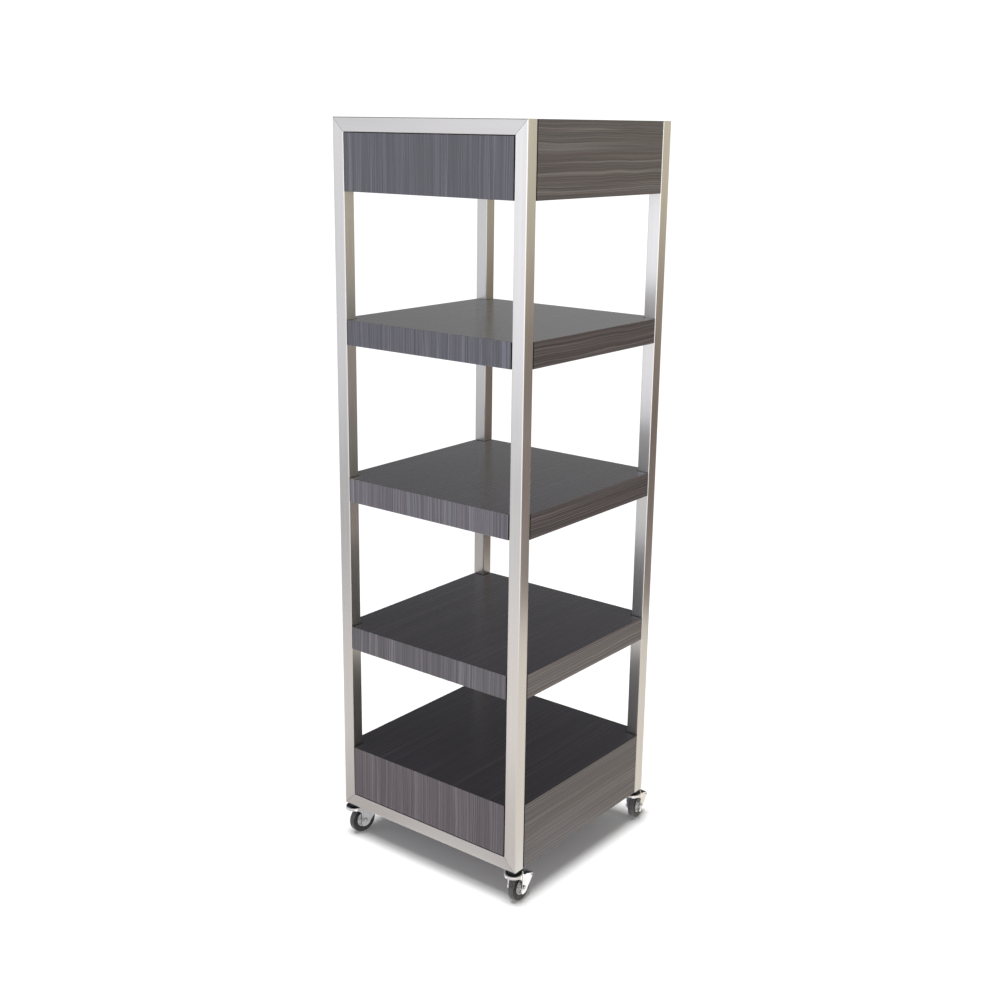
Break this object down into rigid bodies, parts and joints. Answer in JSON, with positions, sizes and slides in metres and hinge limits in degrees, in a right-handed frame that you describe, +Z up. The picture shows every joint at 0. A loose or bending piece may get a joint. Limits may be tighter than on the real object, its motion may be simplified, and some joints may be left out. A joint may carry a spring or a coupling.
{
  "type": "rolling display shelf tower",
  "caption": "Rolling display tower: front and rear square-tube steel frames carry a header box, open shelves and a base box of dark laminated board on swivel casters.",
  "frame": {"origin": "on the floor, at the bottom centre of the whole object's box, casters included", "axes": "+Z up, the front faces -Y, +X is the right-hand side seen from the front"},
  "size_m": [0.52, 0.5655, 1.655],
  "materials": {
    "brushed_stainless": "fine straight brushing along each tube, satin",
    "wood_laminate": "dark grey wood-grain laminate, satin",
    "chrome_plate": "bright plate",
    "black_lacquer": "black lacquered steel, semi-gloss",
    "zinc_plate": "plain zinc plate",
    "black_rubber": "matte",
    "hub_plastic": "matte light grey"
  },
  "bodies": {
    "tower": {"front_left_post": "brushed_stainless", "front_right_post": "brushed_stainless", "front_top_rail": "brushed_stainless", "front_bottom_rail": "brushed_stainless", "rear_left_post": "brushed_stainless", "rear_right_post": "brushed_stainless", "rear_top_rail": "brushed_stainless", "rear_bottom_rail": "brushed_stainless", "header_front_panel": "wood_laminate", "header_rear_panel": "wood_laminate", "header_left_panel": "wood_laminate", "header_right_panel": "wood_laminate", "header_top_board": "wood_laminate", "header_bottom_board": "wood_laminate", "base_front_panel": "wood_laminate", "base_rear_panel": "wood_laminate", "base_left_panel": "wood_laminate", "base_right_panel": "wood_laminate", "base_deck": "wood_laminate", "base_bottom_board": "wood_laminate", "upper_shelf_top_board": "wood_laminate", "upper_shelf_core": "wood_laminate", "upper_shelf_bottom_board": "wood_laminate", "middle_shelf_top_board": "wood_laminate", "middle_shelf_core": "wood_laminate", "middle_shelf_bottom_board": "wood_laminate", "lower_shelf_top_board": "wood_laminate", "lower_shelf_core": "wood_laminate", "lower_shelf_bottom_board": "wood_laminate", "front_left_caster_socket": "zinc_plate", "front_left_caster_stem": "zinc_plate", "front_right_caster_socket": "zinc_plate", "front_right_caster_stem": "zinc_plate", "rear_left_caster_socket": "zinc_plate", "rear_left_caster_stem": "zinc_plate", "rear_right_caster_socket": "zinc_plate", "rear_right_caster_stem": "zinc_plate"},
    "front_left_swivel": {"front_left_caster_fork": "chrome_plate", "front_left_caster_axle": "zinc_plate"},
    "front_left_wheel": {"front_left_caster_hub": "hub_plastic", "front_left_caster_tyre": "black_rubber"},
    "front_left_brake": {"front_left_brake_pedal": "black_lacquer"},
    "front_right_swivel": {"front_right_caster_fork": "chrome_plate", "front_right_caster_axle": "zinc_plate"},
    "front_right_wheel": {"front_right_caster_hub": "hub_plastic", "front_right_caster_tyre": "black_rubber"},
    "front_right_brake": {"front_right_brake_pedal": "black_lacquer"},
    "rear_left_swivel": {"rear_left_caster_fork": "chrome_plate", "rear_left_caster_axle": "zinc_plate"},
    "rear_left_wheel": {"rear_left_caster_hub": "hub_plastic", "rear_left_caster_tyre": "black_rubber"},
    "rear_left_brake": {"rear_left_brake_pedal": "black_lacquer"},
    "rear_right_swivel": {"rear_right_caster_fork": "chrome_plate", "rear_right_caster_axle": "zinc_plate"},
    "rear_right_wheel": {"rear_right_caster_hub": "hub_plastic", "rear_right_caster_tyre": "black_rubber"},
    "rear_right_brake": {"rear_right_brake_pedal": "black_lacquer"}
  },
  "joints": [
    {"name": "front_left_swivel_turn", "type": "hinge", "parent": "tower", "child": "front_left_swivel", "pos_m": [-0.239, -0.2615, 0.084], "axis": [0, 0, 1], "continuous": true},
    {"name": "front_left_wheel_spin", "type": "hinge", "parent": "front_left_swivel", "child": "front_left_wheel", "pos_m": [-0.23518, -0.23983, 0.033], "axis": [0.9848, -0.1736, 0], "continuous": true},
    {"name": "front_left_brake_press", "type": "hinge", "parent": "front_left_swivel", "child": "front_left_brake", "pos_m": [-0.2298, -0.2093, 0.0505], "axis": [-0.9848, 0.1736, 0], "range_deg": [0, 10]},
    {"name": "front_right_swivel_turn", "type": "hinge", "parent": "tower", "child": "front_right_swivel", "pos_m": [0.239, -0.2615, 0.084], "axis": [0, 0, 1], "continuous": true},
    {"name": "front_right_wheel_spin", "type": "hinge", "parent": "front_right_swivel", "child": "front_right_wheel", "pos_m": [0.23823, -0.23951, 0.033], "axis": [0.9994, 0.0349, 0], "continuous": true},
    {"name": "front_right_brake_press", "type": "hinge", "parent": "front_right_swivel", "child": "front_right_brake", "pos_m": [0.23715, -0.20853, 0.0505], "axis": [-0.9994, -0.0349, 0], "range_deg": [0, 10]},
    {"name": "rear_left_swivel_turn", "type": "hinge", "parent": "tower", "child": "rear_left_swivel", "pos_m": [-0.239, 0.2165, 0.084], "axis": [0, 0, 1], "continuous": true},
    {"name": "rear_left_wheel_spin", "type": "hinge", "parent": "rear_left_swivel", "child": "rear_left_wheel", "pos_m": [-0.23708, 0.23842, 0.033], "axis": [0.9962, -0.0872, 0], "continuous": true},
    {"name": "rear_left_brake_press", "type": "hinge", "parent": "rear_left_swivel", "child": "rear_left_brake", "pos_m": [-0.23438, 0.2693, 0.0505], "axis": [-0.9962, 0.0872, 0], "range_deg": [0, 10]},
    {"name": "rear_right_swivel_turn", "type": "hinge", "parent": "tower", "child": "rear_right_swivel", "pos_m": [0.239, 0.2165, 0.084], "axis": [0, 0, 1], "continuous": true},
    {"name": "rear_right_wheel_spin", "type": "hinge", "parent": "rear_right_swivel", "child": "rear_right_wheel", "pos_m": [0.23594, 0.23829, 0.033], "axis": [0.9903, 0.1392, 0], "continuous": true},
    {"name": "rear_right_brake_press", "type": "hinge", "parent": "rear_right_swivel", "child": "rear_right_brake", "pos_m": [0.23162, 0.26898, 0.0505], "axis": [-0.9903, -0.1392, 0], "range_deg": [0, 10]}
  ]
}
